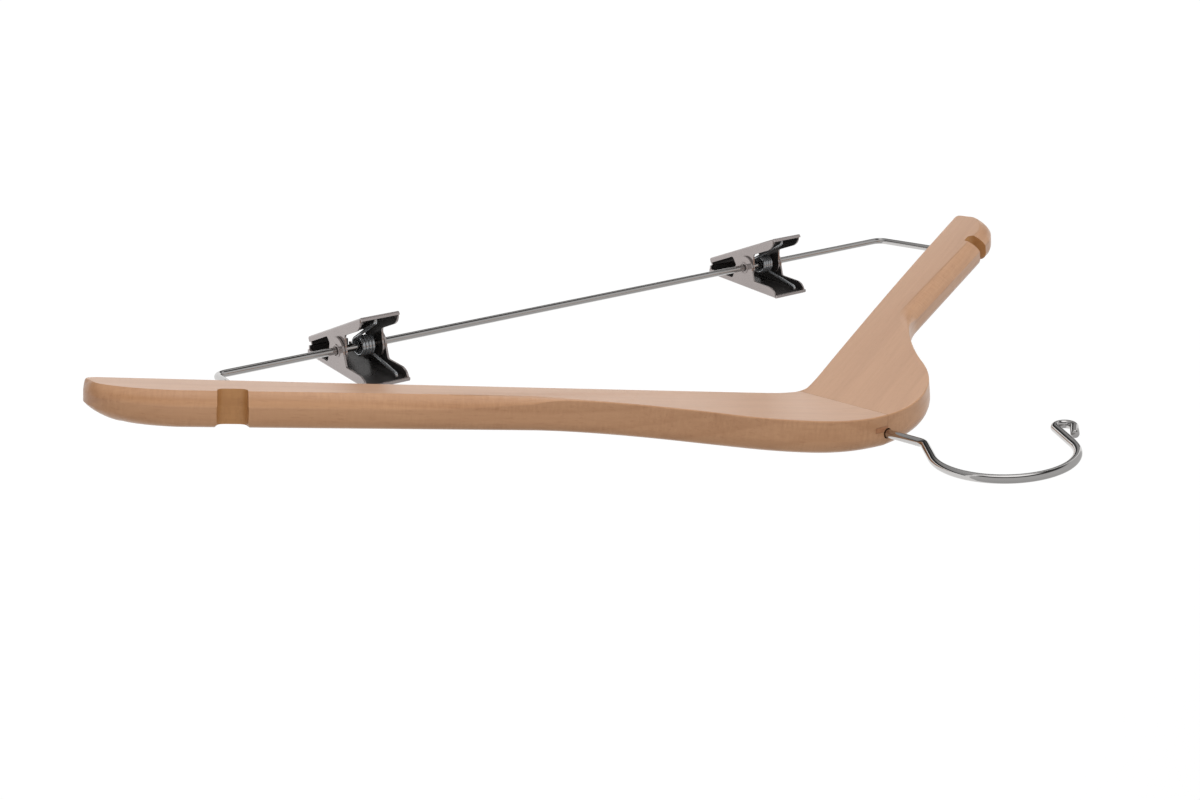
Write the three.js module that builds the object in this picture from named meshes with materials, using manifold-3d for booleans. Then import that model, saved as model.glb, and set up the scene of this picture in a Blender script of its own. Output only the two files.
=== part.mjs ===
// Wooden clip hanger: two joined arms, a swivelling wire hook, a wire bar and two sprung clips.
// Millimetres, +Z up, front towards -Y. The origin is the inside top of the hook, where a rail carries it.
import * as THREE from 'three';
import { mergeVertices } from 'three/addons/utils/BufferGeometryUtils.js';
import Module from 'manifold-3d';

const wasm = await Module();
wasm.setup();

// Arms: lengths along the arm's lower edge, widths square to it
const armLength = 247.7;
const armSlope = 26.2; // degrees below level
const armBow = 7.2; // degrees that each arm turns forward
const armThickness = 11.8;
const armEdgeRound = 2.2;
const neckDistance = 102.4;
const neckWidth = 16.3;
const tipWidth = 22;
const tipRound = 29.6; // length of the rounded end
const tipLead = 1; // how far the end curve's upper and lower handles run past the tip corner
const tipBulge = 3.4;
const tipHigh = 0.9; // heights of those handles, as shares of the tip's width
const tipLow = 0.24;
const lowerEdgeSag = 0.9;
const vBlend = 4; // rounding where the lower edges meet

// Hump over the seam: its flank is the steep stretch between crown and neck
const humpHeight = 40.6;
const humpCrown = 21;
const flankOut = 51.7;
const flankUp = 12.7;
const flankSlope = 54.3; // degrees
const flankUpperReach = 23;
const flankLowerReach = 16.7;
const neckReach = 19.2;

// Strap notch in the shoulder
const notchDistance = 44.5; // from the tip corner, along the arm
const notchWidth = 9.8;
const notchDepth = 7.7;
const notchCorner = 3;

// Centre joint: a tongue on the left arm in a groove of the right arm
const seamGap = 0.3;
const tongueLength = 7;
const tongueThickness = 2.6;
const tongueForward = 1.8;

// Hook
const hookWire = 3;
const hookRadius = 23.2; // to the middle of the wire
const hookOffset = 9.4; // bow centre beside the shank
const hookRise = 41.4; // bow centre above the hump
const hookBendRise = 16.2; // shank bend above the hump
const hookBendRadius = 5;
const hookTurn = 5; // degrees that the hook stands turned from the arms
const flareAngle = 33; // degrees above level where the bow runs out into the tip
const flareLength = 14.5;
const eyeRadius = 3.1;
const eyeSweep = 200; // degrees
const eyeTail = 7.2;
const hookHoleClearance = 0.4;
const shankDepth = 20; // from the hump down to the head
const headDiameter = 5.4;
const headHeight = 2.2;
const washerDiameter = 7;
const washerThickness = 1.2;
const pocketClearance = 0.3;

// Trouser bar
const barWire = 2.8;
const barDrop = 117.1; // below the V of the arms
const barSpan = 344.8; // between its two bends
const barBendRadius = 5;
const legLean = 5.2; // degrees outwards
const legPitch = 1.5; // degrees that the legs lean forward
const barSkew = 2.9; // how much further forward the left leg stands than the right one
const legDepth = 12; // inside the arm
const legClearance = 0.3;

// Clips: distances along a jaw plate are from the bar, heights are from its outer face
const rightClipPlace = 114.9;
const leftClipPlace = -91.8;
const clipLean = 5.5; // degrees that the jaws lean back
const clipAngle = 12.8; // degrees of each plate from the closing plane
const clipWidth = 18.6;
const plateThickness = 0.8;
const pivotDepth = 8.7;
const jawLength = 23.1;
const handleLength = 21.8;
const handleCorner = 1;
const handleLip = 1.5;
const handleFlange = 4.2;
const flangeEnd = 1.4; // bare length of the handle past its flanges
const flangeRound = 4.6; // length of the flanges' rounded ends
const jawFlange = 2.3;
const jawGap = 0.3;
const earRadius = 5.2;
const earRoot = 1.6; // how much wider an ear is at its flange than at the bar
const earGap = 0.3;
const earHoleClearance = 0.2;

// Clip springs
const springWire = 1.3;
const springRadius = 3.3; // to the middle of the wire
const springPitch = 1.75;
const springTurns = 3; // full turns, to which the legs add part of one
const springLegContact = 14; // along the plate from the bar
const springFoot = 1.5; // straight end, square to the plate
const springSeat = 0.3;
const springShift = 2.6; // the coil sits off the clip's middle, towards -X
const springStretch = 4; // wire widths along the wire that count as one stretch

// Facets
const curveFacets = 10;
const edgeFacets = 2;
const wireSides = 10;
const holeSides = 24;
const springSides = 5;
const springStepsPerTurn = 8;
const entrySteps = 40; // rounds to find where a bar leg enters its arm

const rad = THREE.MathUtils.degToRad;
const cutMargin = 10; // how far a cutting tool reaches past what it cuts

const wood = new THREE.MeshStandardMaterial({ color: 0xcfa888, roughness: 0.5, metalness: 0 });
const chrome = new THREE.MeshStandardMaterial({ color: 0xc9c9cc, roughness: 0.12, metalness: 1 });
const springSteel = new THREE.MeshStandardMaterial({ color: 0xaab0b6, roughness: 0.25, metalness: 1 });
const plainSteel = new THREE.MeshStandardMaterial({ color: 0x8f9296, roughness: 0.4, metalness: 1 });

function solid(geometry) {
  const bare = geometry.index ? geometry.toNonIndexed() : geometry.clone();
  bare.deleteAttribute('normal');
  bare.deleteAttribute('uv');
  const merged = mergeVertices(bare, 1e-4);
  const vertProperties = new Float32Array(merged.attributes.position.array);
  const triVerts = new Uint32Array(merged.index.array);
  return new wasm.Manifold(new wasm.Mesh({ numProp: 3, vertProperties, triVerts }));
}

function geometryOf(body) {
  const mesh = body.getMesh();
  const geometry = new THREE.BufferGeometry();
  geometry.setAttribute('position', new THREE.BufferAttribute(new Float32Array(mesh.vertProperties), 3));
  geometry.setIndex(new THREE.BufferAttribute(new Uint32Array(mesh.triVerts), 1));
  geometry.computeVertexNormals();
  return geometry;
}

function named(name, geometry, material) {
  const mesh = new THREE.Mesh(geometry, material);
  mesh.name = name;
  return mesh;
}

function box(low, high) {
  const size = high.map((value, i) => value - low[i]);
  const geometry = new THREE.BoxGeometry(...size);
  return geometry.translate(...low.map((value, i) => value + size[i] / 2));
}

// Upright round bar between two heights on the Z axis
function uprightRod(radius, bottom, top) {
  const geometry = new THREE.CylinderGeometry(radius, radius, top - bottom, holeSides);
  return geometry.rotateX(Math.PI / 2).translate(0, 0, (bottom + top) / 2);
}

// A closed round wire through a list of points
function wire(points, diameter, sides) {
  const last = points.length - 1;
  const tangents = points.map((point, i) =>
    points[Math.min(i + 1, last)].clone().sub(points[Math.max(i - 1, 0)]).normalize());
  const alongX = Math.abs(tangents[0].x) > Math.abs(tangents[0].y);
  const side = alongX ? new THREE.Vector3(0, 1, 0) : new THREE.Vector3(1, 0, 0);
  const vertices = [];
  points.forEach((point, i) => {
    side.addScaledVector(tangents[i], -side.dot(tangents[i])).normalize();
    const up = tangents[i].clone().cross(side);
    for (let k = 0; k < sides; k += 1) {
      const angle = (2 * Math.PI * k) / sides;
      const out = side.clone().multiplyScalar(Math.cos(angle)).addScaledVector(up, Math.sin(angle));
      vertices.push(...out.multiplyScalar(diameter / 2).add(point).toArray());
    }
  });
  const faces = [];
  for (let i = 0; i < last; i += 1) {
    for (let k = 0; k < sides; k += 1) {
      const a = i * sides + k;
      const b = i * sides + ((k + 1) % sides);
      faces.push(a, b, b + sides, a, b + sides, a + sides);
    }
  }
  const end = last * sides;
  for (let k = 1; k < sides - 1; k += 1) {
    faces.push(0, k + 1, k, end, end + k, end + k + 1);
  }
  const geometry = new THREE.BufferGeometry();
  geometry.setAttribute('position', new THREE.Float32BufferAttribute(vertices, 3));
  geometry.setIndex(faces);
  geometry.computeVertexNormals();
  return geometry;
}

// The points of a polyline with each inner corner bent to a radius
function bentThrough(corners, radius) {
  const points = [corners[0]];
  for (let i = 1; i < corners.length - 1; i += 1) {
    const back = corners[i - 1].clone().sub(corners[i]).normalize();
    const on = corners[i + 1].clone().sub(corners[i]).normalize();
    const reach = radius / Math.tan(back.angleTo(on) / 2);
    const start = corners[i].clone().addScaledVector(back, reach);
    const end = corners[i].clone().addScaledVector(on, reach);
    points.push(...new THREE.QuadraticBezierCurve3(start, corners[i], end).getPoints(curveFacets));
  }
  points.push(corners[corners.length - 1]);
  return points;
}

// A point of the arm's own face: along its lower edge, and square to that edge
function armPoint(along, across) {
  const cos = Math.cos(rad(armSlope));
  const sin = Math.sin(rad(armSlope));
  return new THREE.Vector2(along * cos + across * sin, -along * sin + across * cos);
}

function lowerEdgeAt(along) {
  const share = along / armLength;
  return armPoint(along, -4 * lowerEdgeSag * share * (1 - share));
}

function shoulderPoint(along) {
  const run = armLength - tipRound - neckDistance;
  const across = neckWidth + ((tipWidth - neckWidth) * (along - neckDistance)) / run;
  return armPoint(along, across);
}

// The notch follows the shoulder line: a mouth, two rounded floor corners and a flat floor
function addNotch(shape) {
  const middle = armLength - notchDistance;
  const line = shoulderPoint(armLength).sub(shoulderPoint(middle)).normalize();
  const inward = new THREE.Vector2(-line.y, line.x).negate();
  const at = (along, depth) =>
    shoulderPoint(middle).addScaledVector(line, along).addScaledVector(inward, depth);
  const half = notchWidth / 2;
  const corners = [at(-half, 0), at(-half, notchDepth - notchCorner), at(-half, notchDepth),
    at(notchCorner - half, notchDepth), at(half - notchCorner, notchDepth), at(half, notchDepth),
    at(half, notchDepth - notchCorner), at(half, 0)];
  shape.lineTo(corners[0].x, corners[0].y);
  shape.lineTo(corners[1].x, corners[1].y);
  shape.quadraticCurveTo(corners[2].x, corners[2].y, corners[3].x, corners[3].y);
  shape.lineTo(corners[4].x, corners[4].y);
  shape.quadraticCurveTo(corners[5].x, corners[5].y, corners[6].x, corners[6].y);
  shape.lineTo(corners[7].x, corners[7].y);
}

// Outline of one arm in its own face, X outwards from the seam and Y up, run past the seam
function armOutline() {
  const slope = new THREE.Vector2(Math.cos(rad(flankSlope)), -Math.sin(rad(flankSlope)));
  const flank = new THREE.Vector2(flankOut, flankUp);
  const flankIn = flank.clone().addScaledVector(slope, -flankUpperReach);
  const flankOn = flank.clone().addScaledVector(slope, flankLowerReach);
  const neck = shoulderPoint(neckDistance);
  const neckIn = shoulderPoint(neckDistance - neckReach);
  const endStart = shoulderPoint(armLength - tipRound);
  const endIn = armPoint(armLength + tipLead, tipHigh * tipWidth);
  const endOut = armPoint(armLength + tipBulge, tipLow * tipWidth);
  const corner = armPoint(armLength, 0);
  const sag = armPoint(armLength / 2, -2 * lowerEdgeSag);
  const vOut = lowerEdgeAt(2 * vBlend);
  const vIn = lowerEdgeAt(vBlend);
  const shape = new THREE.Shape();
  shape.moveTo(-cutMargin, humpHeight);
  shape.lineTo(0, humpHeight);
  shape.bezierCurveTo(humpCrown, humpHeight, flankIn.x, flankIn.y, flank.x, flank.y);
  shape.bezierCurveTo(flankOn.x, flankOn.y, neckIn.x, neckIn.y, neck.x, neck.y);
  addNotch(shape);
  shape.lineTo(endStart.x, endStart.y);
  shape.bezierCurveTo(endIn.x, endIn.y, endOut.x, endOut.y, corner.x, corner.y);
  shape.quadraticCurveTo(sag.x, sag.y, vOut.x, vOut.y);
  shape.quadraticCurveTo(vIn.x, vIn.y, 0, vIn.y);
  shape.lineTo(-cutMargin, vIn.y);
  return shape;
}

// One board, side +1 to the right and -1 to the left, turned forward about the seam
function board(side) {
  const geometry = new THREE.ExtrudeGeometry(armOutline(), {
    depth: armThickness - 2 * armEdgeRound,
    curveSegments: curveFacets,
    bevelThickness: armEdgeRound,
    bevelSize: armEdgeRound,
    bevelOffset: -armEdgeRound,
    bevelSegments: edgeFacets,
  });
  geometry.translate(0, 0, armEdgeRound - armThickness / 2);
  geometry.rotateX(Math.PI / 2);
  geometry.rotateZ(side > 0 ? -rad(armBow) : Math.PI + rad(armBow));
  return solid(geometry);
}

function seamCut(side) {
  const far = 2 * armThickness + cutMargin;
  const inner = seamGap / 2;
  const low = [side > 0 ? -far : -inner, -far, -armLength];
  const high = [side > 0 ? inner : far, far, armLength];
  return solid(box(low, high));
}

// The hook's round hole with the pocket for its washer and head, on the seam
function hookSpace() {
  const pocketTop = humpHeight - shankDepth + washerThickness + 2 * pocketClearance;
  const pocketBottom = humpHeight - shankDepth - headHeight - pocketClearance;
  const hole = uprightRod(hookWire / 2 + hookHoleClearance, pocketBottom, humpHeight + cutMargin);
  const pocket = uprightRod(washerDiameter / 2 + pocketClearance, pocketBottom, pocketTop);
  return solid(hole).add(solid(pocket));
}

function tongue(clearance) {
  const back = -tongueForward + tongueThickness / 2 + clearance;
  const front = -tongueForward - tongueThickness / 2 - clearance;
  return solid(box([-seamGap, front, -cutMargin], [tongueLength + clearance, back, humpHeight + cutMargin]));
}

// Where a bar leg enters the lower edge of the right arm, and how far forward the bar hangs
function legPlace() {
  const lean = Math.tan(rad(legLean));
  const level = (along) => lowerEdgeAt(along).x * Math.cos(rad(armBow));
  let along = armLength / 2;
  for (let i = 0; i < entrySteps; i += 1) {
    const x = barSpan / 2 + (barDrop + lowerEdgeAt(along).y) * lean;
    along += x - level(along);
  }
  const entry = lowerEdgeAt(along);
  return { out: level(along), up: entry.y, forward: level(along) * Math.tan(rad(armBow)) };
}

// How far forward the bar lies at a distance from the seam
function barForward(place) {
  const { up, forward } = legPlace();
  const right = forward + (barDrop + up) * Math.tan(rad(legPitch));
  return right + (barSkew * (barSpan / 2 - place)) / barSpan;
}

function barCorners(extraDepth) {
  const { out, up, forward } = legPlace();
  const lean = Math.tan(rad(legLean));
  const rise = (legDepth + extraDepth) * Math.cos(rad(legLean));
  const top = new THREE.Vector3(out + rise * lean, rise * Math.tan(rad(legPitch)) - forward, up + rise);
  const bend = new THREE.Vector3(barSpan / 2, -barForward(barSpan / 2), -barDrop);
  const flip = (point) => new THREE.Vector3(-point.x, point.y - barSkew, point.z);
  return [flip(top), flip(bend), bend, top];
}

function legHole(side) {
  const corners = barCorners(legClearance);
  const leg = side > 0 ? [corners[2], corners[3]] : [corners[1], corners[0]];
  return solid(wire(leg, barWire + 2 * legClearance, holeSides));
}

function rightArm() {
  const body = board(1).subtract(seamCut(1)).subtract(tongue(seamGap));
  return geometryOf(body.subtract(hookSpace()).subtract(legHole(1)));
}

function leftArm() {
  const body = board(-1).subtract(seamCut(-1)).add(board(1).intersect(tongue(0)));
  return geometryOf(body.subtract(hookSpace()).subtract(legHole(-1)));
}

function trouserBar() {
  return wire(bentThrough(barCorners(0), barBendRadius), barWire, wireSides);
}

// A point of the hook's own plane, out from the shank towards the tip and up from the V
function hookPoint(out, up) {
  const turn = rad(hookTurn);
  return new THREE.Vector3(-out * Math.cos(turn), -out * Math.sin(turn), up);
}

function arcPoints(centre, radius, from, to, steps) {
  return Array.from({ length: steps + 1 }, (unused, i) => {
    const angle = from + ((to - from) * i) / steps;
    return new THREE.Vector2(centre.x + radius * Math.cos(angle), centre.y + radius * Math.sin(angle));
  });
}

// Shank, bend, tangent run into the bow, tangent run out to the tip, and the eye turned outwards
function hookLine() {
  const bowCentre = new THREE.Vector2(hookOffset, humpHeight + hookRise);
  const bend = new THREE.Vector2(0, humpHeight + hookBendRise);
  const toCentre = bowCentre.clone().sub(bend);
  const run = Math.sqrt(toCentre.lengthSq() - hookRadius ** 2);
  const runAngle = toCentre.angle() + Math.asin(hookRadius / toCentre.length());
  const runWay = new THREE.Vector2(Math.cos(runAngle), Math.sin(runAngle));
  const leanEnd = bend.clone().addScaledVector(runWay, run);
  const start = new THREE.Vector2(0, humpHeight - shankDepth);
  const flat = (point) => new THREE.Vector3(point.x, point.y, 0);
  const shank = bentThrough([start, bend, leanEnd].map(flat), hookBendRadius);
  const bow = arcPoints(bowCentre, hookRadius, runAngle + Math.PI / 2, rad(flareAngle), 3 * curveFacets);
  const flareWay = new THREE.Vector2(Math.sin(rad(flareAngle)), -Math.cos(rad(flareAngle)));
  const flareEnd = bow[bow.length - 1].clone().addScaledVector(flareWay, flareLength);
  const eyeCentre = flareEnd.clone().addScaledVector(new THREE.Vector2(-flareWay.y, flareWay.x), eyeRadius);
  const eyeStart = flareEnd.clone().sub(eyeCentre).angle();
  const eyeEnd = eyeStart + rad(eyeSweep);
  const eye = arcPoints(eyeCentre, eyeRadius, eyeStart, eyeEnd, 2 * curveFacets);
  const tailWay = new THREE.Vector2(-Math.sin(eyeEnd), Math.cos(eyeEnd));
  const tail = eye[eye.length - 1].clone().addScaledVector(tailWay, eyeTail);
  const line = [...shank.slice(0, -1), ...bow, ...eye, tail];
  return line.map((point) => hookPoint(point.x, point.y));
}

function hook() {
  const foot = humpHeight - shankDepth;
  const head = uprightRod(headDiameter / 2, foot - headHeight, foot);
  return geometryOf(solid(wire(hookLine(), hookWire, wireSides)).add(solid(head)));
}

function hookWasher() {
  const bottom = humpHeight - shankDepth + pocketClearance;
  const top = bottom + washerThickness;
  const disc = solid(uprightRod(washerDiameter / 2, bottom, top));
  const bore = uprightRod(hookWire / 2 + hookHoleClearance, bottom - cutMargin, top + cutMargin);
  return geometryOf(disc.subtract(solid(bore)));
}

// Side outline of a jaw plate: X along it towards the handle, Y inwards from its outer face
function plateOutline() {
  const closing = (along) => pivotDepth + along * Math.tan(rad(clipAngle)) - jawGap / 2;
  const barePart = handleLength - flangeEnd;
  const innerEnd = handleLength - plateThickness;
  const shape = new THREE.Shape();
  shape.moveTo(-jawLength, 0);
  shape.lineTo(handleLength, 0);
  shape.lineTo(handleLength, handleLip);
  shape.lineTo(innerEnd, handleLip);
  shape.lineTo(innerEnd, plateThickness);
  shape.lineTo(barePart, plateThickness);
  shape.quadraticCurveTo(barePart, handleFlange, barePart - flangeRound, handleFlange);
  shape.lineTo(earRadius + earRoot, handleFlange);
  shape.lineTo(earRadius, pivotDepth);
  shape.absarc(0, pivotDepth, earRadius, 0, Math.PI, false);
  shape.lineTo(-earRadius - earRoot, jawFlange);
  shape.lineTo(plateThickness - jawLength, jawFlange);
  shape.lineTo(plateThickness - jawLength, closing(plateThickness - jawLength));
  shape.lineTo(-jawLength, closing(-jawLength));
  return shape;
}

// Plan of a plate, X across it and Y along it, with the handle's corners rounded
function platePlan(width) {
  const half = width / 2;
  const shape = new THREE.Shape();
  shape.moveTo(-half, -jawLength);
  shape.lineTo(half, -jawLength);
  shape.lineTo(half, handleLength - handleCorner);
  shape.absarc(half - handleCorner, handleLength - handleCorner, handleCorner, 0, Math.PI / 2, false);
  shape.absarc(handleCorner - half, handleLength - handleCorner, handleCorner, Math.PI / 2, Math.PI, false);
  return shape;
}

function extruded(shape, depth) {
  return new THREE.ExtrudeGeometry(shape, { depth, bevelEnabled: false, curveSegments: curveFacets });
}

// A folded plate with its pivot on the X axis and its outer face towards -Y, handle up
function jawPlate(width) {
  const reach = pivotDepth + earRadius;
  const blank = extruded(plateOutline(), width).translate(0, -pivotDepth, -width / 2);
  const upright = new THREE.Matrix4().makeBasis(
    new THREE.Vector3(0, 0, 1), new THREE.Vector3(0, 1, 0), new THREE.Vector3(-1, 0, 0));
  const plan = extruded(platePlan(width), reach + cutMargin).rotateX(Math.PI / 2).translate(0, reach, 0);
  const innerHalf = width / 2 - plateThickness;
  const inside = box([-innerHalf, plateThickness - pivotDepth, plateThickness - jawLength],
    [innerHalf, reach + cutMargin, handleLength - plateThickness]);
  const hole = new THREE.CylinderGeometry(barWire / 2 + earHoleClearance, barWire / 2 + earHoleClearance,
    width + cutMargin, holeSides).rotateZ(Math.PI / 2);
  const folded = solid(blank.applyMatrix4(upright)).intersect(solid(plan)).subtract(solid(inside));
  return folded.subtract(solid(hole));
}

// Front plate leans its handle forward; the back plate is the same turned round and wider over its ears
function frontJaw() {
  const inner = clipWidth - 2 * (plateThickness + earGap);
  return geometryOf(jawPlate(inner)).rotateX(rad(clipAngle));
}

function backJaw() {
  return geometryOf(jawPlate(clipWidth)).rotateZ(Math.PI).rotateX(-rad(clipAngle));
}

// Middle line of a clip spring: foot and leg on the front plate, coil, leg and foot on the back plate
function springLine() {
  const inset = pivotDepth - plateThickness - springSeat;
  const tilt = rad(clipAngle);
  const place = (along, outward) => new THREE.Vector2(
    -along * Math.sin(tilt) - outward * Math.cos(tilt), along * Math.cos(tilt) - outward * Math.sin(tilt));
  const foot = place(springLegContact, inset);
  const ankle = place(springLegContact, inset - springFoot - springWire / 2);
  const leave = ankle.angle() + Math.acos(springRadius / ankle.length());
  const sweep = 2 * Math.PI * springTurns + (3 * Math.PI - 2 * leave);
  const length = (springPitch * sweep) / (2 * Math.PI);
  const steps = Math.round((springStepsPerTurn * sweep) / (2 * Math.PI));
  const coil = Array.from({ length: steps + 1 }, (unused, i) => {
    const angle = leave + (sweep * i) / steps;
    return new THREE.Vector3(length / 2 - springShift - (length * i) / steps,
      springRadius * Math.cos(angle), springRadius * Math.sin(angle));
  });
  const at = (x, point, side) => new THREE.Vector3(x, side * point.x, point.y);
  const first = coil[0].x;
  const last = coil[steps].x;
  const frontLeg = bentThrough([at(first, foot, 1), at(first, ankle, 1), coil[0]], springWire);
  const backLeg = bentThrough([coil[steps], at(last, ankle, -1), at(last, foot, -1)], springWire);
  return [...frontLeg.slice(0, -1), ...coil, ...backLeg.slice(1)];
}

// Least clear gap of a wire to itself, between stretches more than a few wire widths apart
function leastGap(points, diameter) {
  const travelled = [0];
  for (let i = 1; i < points.length; i += 1) {
    travelled.push(travelled[i - 1] + points[i].distanceTo(points[i - 1]));
  }
  let least = Infinity;
  const segment = new THREE.Line3();
  const nearest = new THREE.Vector3();
  for (let i = 0; i < points.length; i += 1) {
    for (let j = 1; j < points.length; j += 1) {
      const toEnds = [travelled[j - 1], travelled[j]].map((reach) => Math.abs(reach - travelled[i]));
      const apart = Math.min(...toEnds);
      if (apart > springStretch * diameter) {
        segment.set(points[j - 1], points[j]).closestPointToPoint(points[i], true, nearest);
        least = Math.min(least, nearest.distanceTo(points[i]) - diameter);
      }
    }
  }
  return least;
}

function clip(name, place) {
  const group = new THREE.Group();
  group.position.set(place, -barForward(place), -barDrop);
  group.rotation.set(rad(clipLean), 0, Math.atan(barSkew / barSpan), 'ZYX');
  group.add(named(`${name}_front_jaw`, frontJaw(), chrome));
  group.add(named(`${name}_back_jaw`, backJaw(), chrome));
  group.add(named(`${name}_spring`, wire(springLine(), springWire, springSides), springSteel));
  return group;
}

// Everything is placed from the V of the arms, then shifted to put the rail's seat at the origin
const saddle = hookPoint(hookOffset, humpHeight + hookRise + hookRadius - hookWire / 2);
const hanger = new THREE.Group();
hanger.position.copy(saddle).negate();
hanger.add(named('right_arm', rightArm(), wood));
hanger.add(named('left_arm', leftArm(), wood));
hanger.add(named('hook', hook(), chrome));
hanger.add(named('hook_washer', hookWasher(), plainSteel));
hanger.add(named('trouser_bar', trouserBar(), chrome));
hanger.add(clip('right_clip', rightClipPlace));
hanger.add(clip('left_clip', leftClipPlace));
console.log(`least gap of a clip spring to itself: ${leastGap(springLine(), springWire).toFixed(2)} mm`);

const root = new THREE.Group();
root.add(hanger);
export default root;
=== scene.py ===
import math
import bpy
import bmesh
from mathutils import Matrix, Vector


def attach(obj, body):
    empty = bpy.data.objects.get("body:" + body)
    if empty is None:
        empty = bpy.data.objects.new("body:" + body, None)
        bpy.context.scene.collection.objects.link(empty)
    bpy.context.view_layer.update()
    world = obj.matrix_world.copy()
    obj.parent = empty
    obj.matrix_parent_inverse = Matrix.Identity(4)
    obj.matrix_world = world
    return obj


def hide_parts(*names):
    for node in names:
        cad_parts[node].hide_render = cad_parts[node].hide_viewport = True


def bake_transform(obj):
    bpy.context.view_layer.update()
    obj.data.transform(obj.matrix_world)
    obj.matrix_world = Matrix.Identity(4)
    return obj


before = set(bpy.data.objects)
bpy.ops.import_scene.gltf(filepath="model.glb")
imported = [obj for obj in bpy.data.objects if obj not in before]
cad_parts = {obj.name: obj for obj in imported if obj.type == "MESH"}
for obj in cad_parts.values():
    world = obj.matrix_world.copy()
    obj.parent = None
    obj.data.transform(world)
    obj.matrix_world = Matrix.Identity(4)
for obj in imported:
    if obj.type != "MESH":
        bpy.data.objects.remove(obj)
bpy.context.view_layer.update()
print("frame loaded with", len(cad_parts), "nodes")

mm = 0.001
vPoint = Vector((9.364, 0.819, -103.7))  # where the arms' lower edges meet, in mm; pieces are laid out from it


# shared mesh helpers

def addObject(name, data):
    obj = bpy.data.objects.new(name, data)
    bpy.context.scene.collection.objects.link(obj)
    return obj


def meshObject(name, points, faces, edges=()):
    mesh = bpy.data.meshes.new(name)
    mesh.from_pydata([(Vector(p) + vPoint) * mm for p in points], list(edges), faces)
    mesh.update()
    return addObject(name, mesh)


def settle(obj):
    # bake what the modifiers make into a plain mesh
    bpy.context.view_layer.update()
    graph = bpy.context.evaluated_depsgraph_get()
    mesh = bpy.data.meshes.new_from_object(obj.evaluated_get(graph))
    old = obj.data
    obj.modifiers.clear()
    obj.data = mesh
    bpy.data.meshes.remove(old)
    return obj


def cutWith(obj, cutter, operation="DIFFERENCE"):
    tool = obj.modifiers.new("cut", "BOOLEAN")
    tool.solver = "EXACT"
    tool.operation = operation
    tool.object = cutter
    settle(obj)
    bpy.data.objects.remove(cutter)
    return obj


def outwards(obj):
    work = bmesh.new()
    work.from_mesh(obj.data)
    bmesh.ops.remove_doubles(work, verts=work.verts, dist=1e-7)
    bmesh.ops.recalc_face_normals(work, faces=work.faces)
    work.to_mesh(obj.data)
    work.free()
    return obj


def smoothFaces(obj, sharpAngle):
    mesh = obj.data
    mesh.shade_smooth()
    mesh.set_sharp_from_angle(angle=math.radians(sharpAngle))
    weigh = obj.modifiers.new("weigh", "WEIGHTED_NORMAL")
    weigh.keep_sharp = True
    return settle(obj)


def gridFaces(rows, columns, closeRows=False, closeColumns=False):
    # quads between the points of a grid that is stored row by row
    faces = []
    for i in range(rows if closeRows else rows - 1):
        for k in range(columns if closeColumns else columns - 1):
            here, after = i * columns, (i + 1) % rows * columns
            beside = (k + 1) % columns
            faces.append((here + k, here + beside, after + beside, after + k))
    return faces


def boxObject(name, low, high):
    corners = [(x, y, z) for x in (low[0], high[0]) for y in (low[1], high[1]) for z in (low[2], high[2])]
    faces = [(0, 1, 3, 2), (4, 6, 7, 5), (0, 4, 5, 1), (2, 3, 7, 6), (0, 2, 6, 4), (1, 5, 7, 3)]
    return outwards(meshObject(name, corners, faces))


def rodObject(name, start, end, radius, sides=40):
    start, end = Vector(start), Vector(end)
    way = (end - start).normalized()
    side = way.orthogonal().normalized()
    up = way.cross(side)
    turns = [2 * math.pi * k / sides for k in range(sides)]
    ring = [side * math.cos(t) * radius + up * math.sin(t) * radius for t in turns]
    points = [start + r for r in ring] + [end + r for r in ring]
    faces = gridFaces(2, sides, closeColumns=True)
    faces += [tuple(range(sides)), tuple(range(sides, 2 * sides))]
    return outwards(meshObject(name, points, faces))


def bezier(handles, steps):
    points = [Vector(h) for h in handles]
    line = []
    for i in range(steps + 1):
        t = i / steps
        row = points
        while len(row) > 1:
            row = [a.lerp(b, t) for a, b in zip(row, row[1:])]
        line.append(row[0])
    return line


def bentThrough(corners, radius, steps):
    corners = [Vector(c) for c in corners]
    line = [corners[0]]
    for before, corner, after in zip(corners, corners[1:], corners[2:]):
        back, on = (before - corner).normalized(), (after - corner).normalized()
        reach = radius / math.tan(back.angle(on) / 2)
        line += bezier([corner + back * reach, corner, corner + on * reach], steps)
    return line + [corners[-1]]


# shared node helpers

def newTree(name, kind, inputs, outputs):
    tree = bpy.data.node_groups.new(name, kind)
    for way, sockets in (("INPUT", inputs), ("OUTPUT", outputs)):
        for label, value in sockets.items():
            tree.interface.new_socket(label, in_out=way, socket_type=f"NodeSocket{value}")
    return tree, tree.nodes.new("NodeGroupInput"), tree.nodes.new("NodeGroupOutput")


def linkAll(tree, links):
    for source, output, target, socket in links:
        tree.links.new(source.outputs[output], target.inputs[socket])


def mathNode(tree, operation, first, second=None, clamp=False):
    node = tree.nodes.new("ShaderNodeMath")
    node.operation = operation
    node.use_clamp = clamp
    for socket, value in zip(node.inputs, (first, second)):
        if value is None:
            continue
        if isinstance(value, (int, float)):
            socket.default_value = value
        else:
            tree.links.new(value, socket)
    return node.outputs[0]


def arithmetic(tree):
    # adding, subtracting and multiplying in one tree
    return [lambda a, b, kind=kind: mathNode(tree, kind, a, b) for kind in ("ADD", "SUBTRACT", "MULTIPLY")]


def noiseAlong(tree, coord, scale, detail, roughness):
    mapping = tree.nodes.new("ShaderNodeMapping")
    mapping.inputs["Scale"].default_value = scale
    noise = tree.nodes.new("ShaderNodeTexNoise")
    noise.inputs["Scale"].default_value = 1.0
    noise.inputs["Detail"].default_value = detail
    noise.inputs["Roughness"].default_value = roughness
    tree.links.new(coord, mapping.inputs["Vector"])
    tree.links.new(mapping.outputs["Vector"], noise.inputs["Vector"])
    return noise.outputs["Fac"]


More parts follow.
